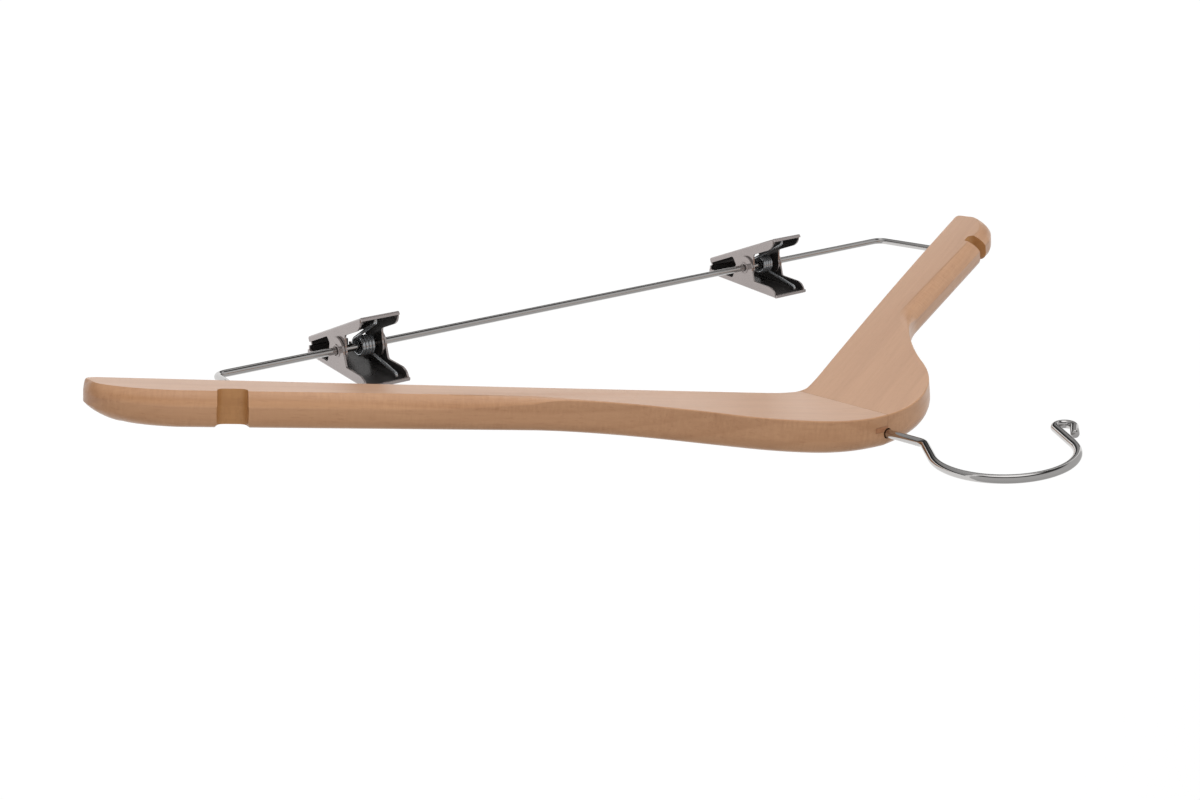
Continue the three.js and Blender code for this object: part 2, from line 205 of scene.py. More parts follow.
def ramp(tree, value, stops):
    node = tree.nodes.new("ShaderNodeValToRGB")
    while len(node.color_ramp.elements) < len(stops):
        node.color_ramp.elements.new(0.5)
    for element, (position, level) in zip(node.color_ramp.elements, stops):
        element.position = position
        element.color = (level, level, level, 1)
    tree.links.new(value, node.inputs["Fac"])
    return node.outputs["Color"]


def mixColour(tree, amount, first, second):
    node = tree.nodes.new("ShaderNodeMix")
    node.data_type = "RGBA"
    sockets = {s.identifier: s for s in node.inputs}
    for key, value in (("Factor_Float", amount), ("A_Color", first), ("B_Color", second)):
        if isinstance(value, (int, float, tuple)):
            sockets[key].default_value = value
        else:
            tree.links.new(value, sockets[key])
    return next(s for s in node.outputs if s.identifier == "Result_Color")


# wire sweep: one tree for the hook, the bar, the springs and the rims of the ear holes

wires = {"sharp": 50, "endRows": [(0.0, 0.62), (0.06, 0.8), (0.16, 0.92), (0.32, 1.0)]}  # shares of the wire


def makeWireSweep():
    tree, start, end = newTree(
        "wireSweep", "GeometryNodeTree",
        {"Path": "Geometry", "Wire": "Float", "Sides": "Int", "Finish": "Material"}, {"Swept": "Geometry"})
    curve = tree.nodes.new("GeometryNodeMeshToCurve")
    taper = tree.nodes.new("GeometryNodeInputNamedAttribute")
    taper.inputs["Name"].default_value = "taper"
    circle = tree.nodes.new("GeometryNodeCurvePrimitiveCircle")
    sweep = tree.nodes.new("GeometryNodeCurveToMesh")
    sweep.inputs["Fill Caps"].default_value = True
    smooth = tree.nodes.new("GeometryNodeSetShadeSmooth")
    real = tree.nodes.new("GeometryNodeRealizeInstances")
    finish = tree.nodes.new("GeometryNodeSetMaterial")
    tree.links.new(mathNode(tree, "MULTIPLY", start.outputs["Wire"], 0.5), circle.inputs["Radius"])
    linkAll(tree, (
        (start, "Path", curve, "Mesh"), (start, "Sides", circle, "Resolution"),
        (curve, "Curve", sweep, "Curve"), (circle, "Curve", sweep, "Profile Curve"),
        (taper, "Attribute", sweep, "Scale"), (sweep, "Mesh", smooth, "Geometry"),
        (smooth, "Geometry", real, "Geometry"), (real, "Geometry", finish, "Geometry"),
        (start, "Finish", finish, "Material"), (finish, "Geometry", end, "Swept")))
    return tree


wireSweep = makeWireSweep()


def sweptWire(name, line, wire, sides, finish, taper=None, closed=False):
    last = len(line) - 1
    edges = [(i, i + 1) for i in range(last)] + ([(last, 0)] if closed else [])
    obj = meshObject(name, line, [], edges)
    store = obj.data.attributes.new("taper", "FLOAT", "POINT")
    store.data.foreach_set("value", taper or [1.0] * len(line))
    sweep = obj.modifiers.new("sweep", "NODES")
    sweep.node_group = wireSweep
    values = {"Wire": wire * mm, "Sides": sides, "Finish": finish}
    for item in wireSweep.interface.items_tree:
        if item.in_out == "INPUT" and item.name in values:
            sweep[item.identifier] = values[item.name]
    settle(obj)
    outwards(obj)
    obj.data.shade_smooth()
    obj.data.set_sharp_from_angle(angle=math.radians(wires["sharp"]))
    return obj


def roundedEnds(line, wire, startEnd=True):
    # extra points and radii that round off a cut wire
    rows = wires["endRows"]
    points, taper = [Vector(p) for p in line], [1.0] * len(line)
    if startEnd:
        way = (points[1] - points[0]).normalized()
        points = [points[0] + way * wire * s for s, _ in rows] + points[1:]
        taper = [r for _, r in rows] + taper[1:]
    way = (points[-2] - points[-1]).normalized()
    points = points[:-1] + [points[-1] + way * wire * s for s, _ in reversed(rows)]
    return points, taper[:-1] + [r for _, r in reversed(rows)]


# finishes

beech = {
    # noises: scale per metre along, across and through the board, detail, roughness
    "sway": ((7, 28, 28), 2.0, 0.5), "cloud": ((9, 45, 45), 2.0, 0.5), "fibre": ((34, 900, 900), 3.0, 0.6),
    "fleck": ((240, 1500, 1500), 1.0, 0.5), "stroke": ((900, 110, 260), 2.0, 0.6),
    "patch": ((30, 160, 160), 2.0, 0.5),
    "drift": 0.022, "pith": (0.012, 0.055),  # how far the rings sway and where their middle lies, in metres
    "ringTones": [(0.0, 0.1), (0.5, 0.3), (0.86, 0.9), (1.0, 0.15)],
    "fleckTones": [(0.6, 0.0), (0.72, 1.0)], "patchTones": [(0.38, 0.15), (0.62, 1.0)],
    "shares": {"ring": 0.3, "fibre": 0.5, "cloud": 0.55, "fleck": 0.22, "end": 0.5}, "base": 0.356,
    "strokeFade": 0.55, "sheenShare": 0.26, "rough": 0.27, "roughSpread": 0.16, "fleckDepth": 0.35,
}
plating = {"cloud": ((90, 90, 90), 3.0, 0.55), "speck": ((1600, 1600, 1600), 2.0, 0.5),
           "evenCloud": 0.4, "leastRough": 0.03}
surface = {"Color": "Color", "Roughness": "Float", "Height": "Float"}


def giveOut(group, end, *values):
    for label, value in zip(surface, values):
        group.links.new(value, end.inputs[label])


def makeBeechGrain():
    # rings about a far pith, fine fibres and short dark flecks, all along X of the board's own coordinates
    group, start, end = newTree("beechGrain", "ShaderNodeTree", {
        "Coord": "Vector", "Light": "Color", "Dark": "Color", "Ring Width": "Float", "Contrast": "Float",
        "Face": "Float", "Painted Sheen": "Color", "End": "Float"}, surface)
    add, minus, times = arithmetic(group)
    given = start.outputs
    noise = {name: noiseAlong(group, given["Coord"], *beech[name])
             for name in ("sway", "cloud", "fibre", "fleck", "stroke", "patch")}
    split = group.nodes.new("ShaderNodeSeparateXYZ")
    group.links.new(given["Coord"], split.inputs[0])
    drift = times(minus(noise["sway"], 0.5), beech["drift"])
    across = add(add(split.outputs["Y"], drift), beech["pith"][0])
    depth = add(split.outputs["Z"], beech["pith"][1])
    radius = mathNode(group, "SQRT", add(times(across, across), times(depth, depth)))
    ring = mathNode(group, "FRACT", mathNode(group, "DIVIDE", radius, given["Ring Width"]))
    fleck = ramp(group, noise["fleck"], beech["fleckTones"])
    masks = {"ring": ramp(group, ring, beech["ringTones"]), "fibre": noise["fibre"], "cloud": noise["cloud"],
             "fleck": fleck, "end": given["End"]}
    # rays seen on end, in patches, clearer on the edges than on the faces
    clear = minus(1.0, times(given["Face"], beech["strokeFade"]))
    patch = ramp(group, noise["patch"], beech["patchTones"])
    shade = times(minus(noise["stroke"], 0.5), times(clear, patch))
    for name, mask in masks.items():
        shade = add(shade, times(mask, beech["shares"][name]))
    shade = mathNode(group, "MULTIPLY", minus(shade, beech["base"]), given["Contrast"], clamp=True)
    colour = mixColour(group, shade, given["Light"], given["Dark"])
    # painted sheen: the broad faces are mixed towards a pale tint, standing in for the lacquer's white sheen
    colour = mixColour(group, times(given["Face"], beech["sheenShare"]), colour, given["Painted Sheen"])
    rough = add(times(noise["fibre"], beech["roughSpread"]), beech["rough"])
    height = minus(noise["fibre"], times(fleck, beech["fleckDepth"]))
    giveOut(group, end, colour, rough, height)
    return group


def makeHandledMetal():
    # the faint cloudiness and fine specks that a plated wire or plate shows close up
    group, start, end = newTree("handledMetal", "ShaderNodeTree", {
        "Coord": "Vector", "Bright": "Color", "Dull": "Color", "Rough": "Float", "Spread": "Float"}, surface)
    add, minus, times = arithmetic(group)
    given = start.outputs
    cloud, speck = (noiseAlong(group, given["Coord"], *plating[name]) for name in ("cloud", "speck"))
    colour = mixColour(group, cloud, given["Bright"], given["Dull"])
    spread = times(minus(cloud, plating["evenCloud"]), given["Spread"])
    rough = mathNode(group, "MAXIMUM", add(given["Rough"], spread), plating["leastRough"])
    giveOut(group, end, colour, rough, speck)
    return group


beechGrain = makeBeechGrain()
handledMetal = makeHandledMetal()

# painted sheen: the pale tint that lightens the arms' broad faces, standing in for the lacquer's white sheen
paintedSheenTint = (0.84, 0.62, 0.5, 1)
woodFinishes = {
    "armWood": {
        "pattern": {"Light": (0.535, 0.29, 0.152, 1), "Dark": (0.38, 0.18, 0.082, 1), "Ring Width": 0.0062,
                    "Contrast": 1.0, "Painted Sheen": paintedSheenTint},
        "shader": {"Coat Weight": 0.1, "Coat Roughness": 0.25}, "bump": (0.12, 0.0002)},
    "cutWood": {
        "pattern": {"Light": (0.535, 0.28, 0.115, 1), "Dark": (0.42, 0.2, 0.075, 1), "Ring Width": 0.0062,
                    "Contrast": 1.0, "Painted Sheen": paintedSheenTint},
        "shader": {"Coat Weight": 0.08, "Coat Roughness": 0.3, "Specular IOR Level": 0.3},
        "bump": (0.15, 0.0002)},
    "tongueWood": {
        "pattern": {"Light": (0.47, 0.225, 0.11, 1), "Dark": (0.32, 0.13, 0.06, 1), "Ring Width": 0.0016,
                    "Contrast": 1.1, "Painted Sheen": paintedSheenTint},
        "shader": {"Coat Weight": 0.08, "Coat Roughness": 0.25, "Specular IOR Level": 0.35},
        "bump": (0.15, 0.0002)},
}
metalFinishes = {
    "wireChrome": {
        "pattern": {"Bright": (0.6, 0.585, 0.575, 1), "Dull": (0.52, 0.505, 0.495, 1), "Rough": 0.06,
                    "Spread": 0.08},
        "shader": {"Metallic": 1.0}, "bump": (0.03, 0.00005)},
    "clipChrome": {
        "pattern": {"Bright": (0.45, 0.402, 0.391, 1), "Dull": (0.375, 0.334, 0.324, 1), "Rough": 0.11,
                    "Spread": 0.12},
        "shader": {"Metallic": 0.62}, "bump": (0.04, 0.00005)},
    # painted shade: a near-black finish for the clip's inner faces, which lie in shade
    "clipPaintedShade": {
        "pattern": {"Bright": (0.078, 0.072, 0.07, 1), "Dull": (0.046, 0.043, 0.042, 1), "Rough": 0.26,
                    "Spread": 0.2},
        "shader": {"Metallic": 0.55, "Specular IOR Level": 0.2}, "bump": (0.06, 0.00005)},
    "springSteel": {
        "pattern": {"Bright": (0.56, 0.58, 0.6, 1), "Dull": (0.4, 0.415, 0.43, 1), "Rough": 0.16,
                    "Spread": 0.16},
        "shader": {"Metallic": 0.75}, "bump": (0.05, 0.00005)},
    "washerSteel": {
        "pattern": {"Bright": (0.5, 0.5, 0.51, 1), "Dull": (0.34, 0.34, 0.35, 1), "Rough": 0.36, "Spread": 0.2},
        "shader": {"Metallic": 1.0}, "bump": (0.1, 0.0001)},
}


def makeFinish(name, group, settings):
    material = bpy.data.materials.new(name)
    material.use_nodes = True
    tree = material.node_tree
    shader = tree.nodes["Principled BSDF"]
    pattern = tree.nodes.new("ShaderNodeGroup")
    pattern.node_tree = group
    rise = tree.nodes.new("ShaderNodeBump")
    bump = dict(zip(("Strength", "Distance"), settings["bump"]))
    for node, values in ((pattern, settings["pattern"]), (shader, settings["shader"]), (rise, bump)):
        for label, value in values.items():
            node.inputs[label].default_value = value
    linkAll(tree, (
        (pattern, "Color", shader, "Base Color"), (pattern, "Roughness", shader, "Roughness"),
        (pattern, "Height", rise, "Height"), (rise, "Normal", shader, "Normal")))
    return material, tree, pattern


def makeWood(name):
    # the grain follows the board's own attributes; the broad faces' attribute also brings in a painted sheen
    material, tree, pattern = makeFinish(name, beechGrain, woodFinishes[name])
    for attribute, output, target in (
            ("boardCoord", "Vector", "Coord"), ("faceSheenMask", "Fac", "Face"), ("endTone", "Fac", "End")):
        node = tree.nodes.new("ShaderNodeAttribute")
        node.attribute_name = attribute
        tree.links.new(node.outputs[output], pattern.inputs[target])
    return material


def makeMetal(name):
    material, tree, pattern = makeFinish(name, handledMetal, metalFinishes[name])
    tree.links.new(tree.nodes.new("ShaderNodeTexCoord").outputs["Object"], pattern.inputs["Coord"])
    return material


finishes = {name: makeWood(name) for name in woodFinishes}
finishes.update({name: makeMetal(name) for name in metalFinishes})
print("finishes made:", ", ".join(finishes))


# wooden arms; lengths here and below are in mm, angles in degrees

arms = {  # of two values, 1 is the right arm's and -1 the left arm's
    "length": 247.7, "slope": 26.2, "bow": 7.2, "bendLength": 26.0, "bendShift": 0.8, "thickness": 11.8,
    "humpHeight": 40.8, "humpCrown": 21.0, "flankOut": 51.7, "flankUp": 12.7, "flankSlope": 54.3,
    "flankUpperReach": 23.0, "flankLowerReach": 16.7,
    "neckDistance": 102.4, "neckWidth": 16.6, "neckReach": 19.2, "sag": 0.9, "vBlend": 4.0, "overSeam": 12,
    "tipWidth": 22.3, "tipRound": 29.6, "tipLead": 1.0, "tipBulge": {1: 2.1, -1: 3.8},
    "tipHigh": 0.9, "tipLow": 0.24, "cornerFillet": 1.6,
    # front edge's rounding
    "arris": 0.7, "roundIn": {1: 3.9, -1: 5.6}, "roundDeep": 5.0, "roundPull": (0.26, 0.44),
    "roundStarts": {1: (84.0, 98.0), -1: (76.0, 88.0)}, "roundDeepens": {1: (97.0, 118.0), -1: (80.0, 104.0)},
    "tipShare": 0.6, "tipRoundEnds": 0.93,
    # back edge's rounding: inset and depth
    "humpBackRound": (4.2, 4.8), "backRound": (3.0, 3.4), "lowBackRound": (2.0, 2.4),
    "tipBackRound": {1: (13.5, 5.0), -1: (5.4, 6.6)}, "tipBackFlat": {1: 0.52, -1: 0.0},
    "tipCentre": (13.0, 11.0), "tipReach": 0.85, "tipGrows": (0.0, 0.75), "tipFades": (6.0, 28.0),
    "easePasses": 3, "easeReach": 3,
    "notchDistance": {1: 46.9, -1: 41.6}, "notchWidth": 9.8, "notchDepth": 7.7, "notchCorner": 3.2,
    "notchMouth": [(0.0, 0.3), (0.5, -0.6), (0.5, -6)],  # outwards from the wall, into the wood
    "notchEase": 1.4, "notchEaseDeep": 5, "notchEaseRows": 6, "notchThrough": 12,
    "notchMark": {"beside": 0.7, "top": 0.05, "floor": 0.2, "turn": 0.2},
    "seamHalf": 0.05, "seamReach": 60, "seamHeights": (-150, 80),
    "tongueLength": 5.6, "tongueThickness": 1.8, "tongueForward": 1.8, "tongueGap": 0.1, "tongueBack": 0.3,
    "tongueHeights": (-12, 60),
    "steps": {"hump": 40, "shoulder": 24, "tip": 60, "low": 60, "corner": 10, "edge": 9, "notch": 8},
    "sharp": 30, "faceSheenMask": (0.8, 0.98), "endTone": (0.25, 0.8),  # how squarely a face looks that way: the broad faces take a painted sheen, the ends a darker end grain
    "grainShift": {"rightArm": (0.0, 0.0, 0.0), "leftArm": (0.61, 0.013, 0.021),
                   "jointTongue": (0.2, 0.004, 0.009)},  # in metres
}
hook = {"wire": 3.0, "radius": 23.2, "offset": 9.4, "rise": 41.4, "bendRise": 16.2, "bendRadius": 5.0,
        "turn": 5.0, "flareAngle": 33.0, "flare": 14.5, "eyeRadius": 3.1, "eyeSweep": 200.0, "tail": 7.2,
        "hump": 40.6, "shankDepth": 20.0, "head": 5.4, "headHeight": 2.2, "headEase": 0.4,
        "headNeck": (0.3, 0.02), "headShares": (0.85, 1.0, 1.0, 0.94),
        "steps": {"bend": 14, "bow": 72, "eye": 40}, "sides": 28,
        "hole": 1.9, "washerPocket": 3.8, "washer": 1.2, "gap": 0.3, "holeTop": 60}
bar = {"wire": 2.8, "drop": 117.1, "span": 344.8, "bend": 5.0, "lean": 5.2, "pitch": 1.5, "depth": 12.0,
       "forward": 22.86, "skew": 2.9,  # skew: how much further forward the left leg stands
       "holeGap": 0.25, "holeDeeper": 0.3, "holeSides": 24, "bendSteps": 16, "sides": 28}


def armFace(along, across):
    slope = math.radians(arms["slope"])
    return Vector((along * math.cos(slope) + across * math.sin(slope),
                   across * math.cos(slope) - along * math.sin(slope)))


def alongAcross(out, up):
    # the way back from armFace
    slope = math.radians(arms["slope"])
    return out * math.cos(slope) - up * math.sin(slope), out * math.sin(slope) + up * math.cos(slope)


def lowerEdge(along):
    share = along / arms["length"]
    return armFace(along, -4 * arms["sag"] * share * (1 - share))


def shoulder(along):
    run = arms["length"] - arms["tipRound"] - arms["neckDistance"]
    rise = (along - arms["neckDistance"]) / run
    return armFace(along, arms["neckWidth"] + (arms["tipWidth"] - arms["neckWidth"]) * rise)


def easeOver(value, span):
    share = min(1.0, max(0.0, (value - span[0]) / (span[1] - span[0])))
    return share * share * (3 - 2 * share)


def frontRounding(side, point, past):
    # how wide and how deep the front edge is rounded: not at the hump or the lower edge, fully on the shoulder
    along, _ = alongAcross(point.x, point.y)
    share = 1.0 if past < 0 else 1 - (1 - arms["tipShare"]) * past if past < arms["tipRoundEnds"] else 0.0
    return [share * easeOver(along, arms[span][side]) for span in ("roundStarts", "roundDeepens")]


def armOutline(side):
    # crown, flank, neck, shoulder, rounded end, lower edge and V, each point with its edges' rounding
    length, width, hump, steps = arms["length"], arms["tipWidth"], arms["humpHeight"], arms["steps"]
    steep = math.radians(arms["flankSlope"])
    down = Vector((math.cos(steep), -math.sin(steep)))
    flank = Vector((arms["flankOut"], arms["flankUp"]))
    neck = shoulder(arms["neckDistance"])
    corner = armFace(length, 0)
    crownLine = bezier([(0, hump), (arms["humpCrown"], hump), flank - down * arms["flankUpperReach"], flank],
                       steps["hump"])
    neckLine = bezier([flank, flank + down * arms["flankLowerReach"],
                       shoulder(arms["neckDistance"] - arms["neckReach"]), neck], steps["hump"])
    endLine = bezier([shoulder(length - arms["tipRound"]),
                      armFace(length + arms["tipLead"], arms["tipHigh"] * width),
                      armFace(length + arms["tipBulge"][side], arms["tipLow"] * width), corner], steps["tip"])
    lowLine = bezier([corner, armFace(length / 2, -2 * arms["sag"]), lowerEdge(2 * arms["vBlend"])], steps["low"])
    vLow = lowerEdge(arms["vBlend"])
    vLine = bezier([lowLine[-1], vLow, (0, vLow.y)], steps["corner"])
    near = arms["cornerFillet"]
    endKept = [p for p in endLine if (p - corner).length > near]
    lowKept = [p for p in lowLine if (p - corner).length > near]
    fillet = bezier([endKept[-1], corner, lowKept[0]], steps["corner"])[1:-1]
    shoulderLine = [neck.lerp(endLine[0], i / steps["shoulder"]) for i in range(1, steps["shoulder"])]
    upper = [Vector((-arms["overSeam"], hump))] + crownLine + neckLine[1:] + shoulderLine
    lower = lowKept + vLine[1:] + [Vector((-arms["overSeam"], vLow.y))]
    line = upper + endKept + fillet + lower
    humpCount = 1 + len(crownLine)
    back = [arms["humpBackRound"]] * humpCount + [arms["backRound"]] * (len(upper) - humpCount + len(endKept))
    back += [arms["lowBackRound"]] * len(fillet + lower)
    tip = [0.0] * len(upper) + [easeOver(i / len(endKept), arms["tipGrows"]) for i in range(len(endKept))]
    tip += [1.0] * len(fillet) + [1 - easeOver((point - corner).length, arms["tipFades"]) for point in lower]
    tipBack = arms["tipBackRound"][side]
    back = [[a + (b - a) * share for a, b in zip(plain, tipBack)] for plain, share in zip(back, tip)]
    front = [frontRounding(side, point, (i - len(upper)) / len(endKept)) for i, point in enumerate(line)]
    edge = [(*f, *b, t) for f, b, t in zip(front, back, tip)]
    reach = arms["easeReach"]
    for _ in range(arms["easePasses"]):  # ease one rounding into the next along the edge
        spans = [[edge[(i + k) % len(edge)] for k in range(-reach, reach + 1)] for i in range(len(edge))]
        edge = [[sum(values) / len(values) for values in zip(*span)] for span in spans]
    return line, edge


def boardAxes(side):
    bow = math.radians(arms["bow"])
    return Vector((side * math.cos(bow), -math.sin(bow), 0)), Vector((side * math.sin(bow), math.cos(bow), 0))


def boardPoint(side, flat, depth):
    # the boards bend forward in a short curve at the seam, then run straight
    bow, reach = math.radians(arms["bow"]), arms["bendLength"]
    turn = bow * min(1.0, max(0.0, flat.x / reach))
    radius, past = reach / bow, max(0.0, flat.x - reach)
    out = radius * math.sin(turn) + past * math.cos(bow) + min(0.0, flat.x)
    forward = radius * (1 - math.cos(turn)) + past * math.sin(bow) + arms["bendShift"]
    return Vector((side * (out + depth * math.sin(turn)), depth * math.cos(turn) - forward, flat.y))


def edgeSection(side, wideShare, deepShare, inset, deep, flat):
    # from the front face round its edge, along the side and round the back edge: inwards, depth
    half, arris, steps = arms["thickness"] / 2, arms["arris"], arms["steps"]["edge"]
    wide = arris + (arms["roundIn"][side] - arris) * wideShare
    far = arris + (arms["roundDeep"] - arris) * deepShare
    pullIn, pullDeep = arms["roundPull"]
    handles = [(wide, 0), (pullIn * wideShare * wide, pullDeep * deepShare * far), (0, far)]
    section = [(p.x, p.y - half) for p in bezier(handles, steps)]
    for k in range(steps + 1):
        turn = math.pi / 2 * k / steps
        across = (1 - flat) * (1 - math.cos(turn)) + flat * k / steps
        down = (1 - flat) * (1 - math.sin(turn)) + flat * (1 - k / steps)
        section.append((inset * across, half - deep * down))
    return section


def board(name, side):
    line, edge = armOutline(side)
    tipMiddle = armFace(arms["length"] - arms["tipCentre"][0], arms["tipCentre"][1])
    points = []
    for i, (point, (wide, far, inset, deep, tip)) in enumerate(zip(line, edge)):
        way = (line[(i + 1) % len(line)] - line[i - 1]).normalized()
        toTip = tipMiddle - point
        inward = Vector((way.y, -way.x)).lerp(toTip.normalized(), tip).normalized()
        inset = min(inset, arms["tipReach"] * toTip.length)
        section = edgeSection(side, wide, far, inset, deep, tip * arms["tipBackFlat"][side])
        points += [boardPoint(side, point + inward * into, depth) for into, depth in section]
    columns = len(points) // len(line)
    faces = gridFaces(len(line), columns, closeRows=True)
    faces.append(tuple(range(0, len(points), columns)))
    faces.append(tuple(range(len(points) - 1, 0, -columns)))
    return outwards(meshObject(name, points, faces))


def notchAxes(side):
    # the notch's middle on the shoulder, the way along the shoulder and the way into the wood
    middle = arms["length"] - arms["notchDistance"][side]
    along = (shoulder(arms["length"]) - shoulder(middle)).normalized()
    return shoulder(middle), along, Vector((along.y, -along.x))


def notchCutter(side):
    middle, along, inward = notchAxes(side)
    half, deep, corner = arms["notchWidth"] / 2, arms["notchDepth"], arms["notchCorner"]
    steps, ease, through = arms["steps"]["notch"], arms["notchEase"], arms["notchThrough"]
    floor = bezier([(-half, deep - corner), (-half, deep), (corner - half, deep)], steps)
    floor += bezier([(half - corner, deep), (half, deep), (half, deep - corner)], steps)
    mouth = [Vector((half + out, into)) for out, into in arms["notchMouth"]]
    profile = [Vector((-p.x, p.y)) for p in reversed(mouth)] + floor + mouth
    rows = [(-through, 0)]
    for k in range(arms["notchEaseRows"] + 1):  # the walls open out at the back
        turn = math.pi / 2 * k / arms["notchEaseRows"]
        rows.append((arms["thickness"] / 2 - ease * math.cos(turn), ease * (1 - math.cos(turn))))
    rows.append((through, ease))
    points = []
    for depth, grow in rows:
        shares = [max(0, 1 - max(p.y, 0) / arms["notchEaseDeep"]) for p in profile]
        grown = [Vector((p.x * (1 + grow / half * share), p.y)) for p, share in zip(profile, shares)]
        points += [boardPoint(side, middle + along * p.x + inward * p.y, depth) for p in grown]
    faces = gridFaces(len(rows), len(profile), closeColumns=True)
    faces += [tuple(range(len(profile))), tuple(reversed(range(len(points) - len(profile), len(points))))]
    return outwards(meshObject("notchCutter", points, faces))


def seamCutter(side):
    inner, far = arms["seamHalf"], arms["seamReach"]
    low, high = arms["seamHeights"]
    return boxObject("seamCutter", (-far if side > 0 else -inner, -far, low),
                     (inner if side > 0 else far, far, high))


def tongueBox(gap):
    middle, half = -arms["tongueForward"], arms["tongueThickness"] / 2 + gap
    low, high = arms["tongueHeights"]
    return boxObject("tongueBox", (-arms["tongueBack"], middle - half, low),
                     (arms["tongueLength"] + gap, middle + half, high))


def cutHookSpace(obj):
    foot = hook["hump"] - hook["shankDepth"]
    low = foot - hook["headHeight"] - hook["gap"]
    high = foot + hook["washer"] + 2 * hook["gap"]
    cutWith(obj, rodObject("hookHole", (0, 0, low), (0, 0, hook["holeTop"]), hook["hole"]))
    return cutWith(obj, rodObject("washerPocket", (0, 0, low), (0, 0, high), hook["washerPocket"]))


def barForward(place):
    return bar["forward"] + bar["skew"] * (bar["span"] / 2 - place) / bar["span"]


def barBend(side):
    place = side * bar["span"] / 2
    return Vector((place, -barForward(place), -bar["drop"]))


def legTop(side, extra):
    # straight up the leg from the bar's bend, to its end inside the arm
    lean, pitch, bow = (math.radians(angle) for angle in (bar["lean"], bar["pitch"], arms["bow"]))
    half, along = bar["span"] / 2, arms["length"] / 2
    for _ in range(40):  # close in on where the leg meets the lower edge
        entry = lowerEdge(along)
        along += half + (bar["drop"] + entry.y) * math.tan(lean) - entry.x * math.cos(bow)
    rise = lowerEdge(along).y + bar["drop"] + (bar["depth"] + extra) * math.cos(lean)
    return Vector((side * (half + rise * math.tan(lean)), rise * math.tan(pitch) - barForward(side * half),
                   rise - bar["drop"]))


def legCutter(side):
    return rodObject("legHole", barBend(side), legTop(side, bar["holeDeeper"]),
                     bar["wire"] / 2 + bar["holeGap"], bar["holeSides"])


def storeBoardCoord(obj, side):
    out, behind = boardAxes(side)
    shift = arms["grainShift"][obj.name]
    values = []
    for vertex in obj.data.vertices:
        place = vertex.co / mm - vPoint
        along, across = alongAcross(place.dot(out), place.z)
        values += [along * mm + shift[0], across * mm + shift[1], place.dot(behind) * mm + shift[2]]
    store = obj.data.attributes.new("boardCoord", "FLOAT_VECTOR", "POINT")
    store.data.foreach_set("vector", values)


def markNotch(obj, side):
    # the faces that the notch cut left
    middle, along, inward = notchAxes(side)
    out, behind = boardAxes(side)
    origin, mark = boardPoint(side, middle, 0), arms["notchMark"]
    for face in obj.data.polygons:
        place = face.center / mm - vPoint - origin
        flat = Vector((place.dot(out), place.z))
        within = abs(flat.dot(along)) < arms["notchWidth"] / 2 + mark["beside"]
        within = within and mark["top"] < flat.dot(inward) < arms["notchDepth"] + mark["floor"]
        if within and abs(face.normal.dot(behind)) < mark["turn"]:
            face.material_index = 1


def dressWood(obj, finish, side, node=None):
    smoothFaces(obj, arms["sharp"])
    storeBoardCoord(obj, side)
    obj.data.materials.clear()
    for name in (finish, "cutWood"):
        obj.data.materials.append(finishes[name])
    out, behind = boardAxes(side)
    slope = math.radians(arms["slope"])
    fibre = out * math.cos(slope) - Vector((0, 0, math.sin(slope)))
    # the broad faces' mask carries a painted sheen and fades the ray strokes; the ends' mask darkens the end grain
    for name, way in (("faceSheenMask", behind), ("endTone", fibre)):
        tones = [easeOver(abs(face.normal.dot(way)), arms[name]) for face in obj.data.polygons]
        obj.data.attributes.new(name, "FLOAT", "FACE").data.foreach_set("value", tones)
    for face in obj.data.polygons:
        face.material_index = 0
    if node:
        markNotch(obj, side)
    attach(obj, "arms")
    if node:
        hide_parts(node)


rightArm = board("rightArm", 1)
tongue = cutWith(board("jointTongue", 1), tongueBox(0), "INTERSECT")
for cutter in (seamCutter(1), tongueBox(arms["tongueGap"]), notchCutter(1), legCutter(1)):
    cutWith(rightArm, cutter)
leftArm = board("leftArm", -1)
for cutter in (seamCutter(-1), notchCutter(-1), legCutter(-1)):
    cutWith(leftArm, cutter)
for piece in (rightArm, leftArm, tongue):
    cutHookSpace(piece)
dressWood(rightArm, "armWood", 1, "right_arm")
dressWood(leftArm, "armWood", -1, "left_arm")
dressWood(tongue, "tongueWood", -1)
print("arms made:", len(rightArm.data.polygons), len(leftArm.data.polygons), "faces")


# hook

def arc(centre, radius, start, end, steps):
    turns = [start + (end - start) * i / steps for i in range(steps + 1)]
    return [centre + Vector((math.cos(t), math.sin(t))) * radius for t in turns]


def hookLine():
    # out from the shank towards the tip, and up
    steps = hook["steps"]
    centre = Vector((hook["offset"], hook["hump"] + hook["rise"]))
    bend = Vector((0, hook["hump"] + hook["bendRise"]))
    toCentre = centre - bend
    run = math.sqrt(toCentre.length ** 2 - hook["radius"] ** 2)
    runAngle = math.atan2(toCentre.y, toCentre.x) + math.asin(hook["radius"] / toCentre.length)
    leanEnd = bend + Vector((math.cos(runAngle), math.sin(runAngle))) * run
    foot = Vector((0, hook["hump"] - hook["shankDepth"]))
    shank = bentThrough([foot, bend, leanEnd], hook["bendRadius"], steps["bend"])
    flare = math.radians(hook["flareAngle"])
    bow = arc(centre, hook["radius"], runAngle + math.pi / 2, flare, steps["bow"])
    flareWay = Vector((math.sin(flare), -math.cos(flare)))
    flareEnd = bow[-1] + flareWay * hook["flare"]
    eyeCentre = flareEnd + Vector((-flareWay.y, flareWay.x)) * hook["eyeRadius"]
    toStart = flareEnd - eyeCentre
    eyeStart = math.atan2(toStart.y, toStart.x)
    eyeEnd = eyeStart + math.radians(hook["eyeSweep"])
    eye = arc(eyeCentre, hook["eyeRadius"], eyeStart, eyeEnd, steps["eye"])
    tail = eye[-1] + Vector((-math.sin(eyeEnd), math.cos(eyeEnd))) * hook["tail"]
    turn = math.radians(hook["turn"])
    flat = shank[:-1] + bow + eye + [tail]
    return [Vector((-p.x * math.cos(turn), -p.x * math.sin(turn), p.y)) for p in flat]


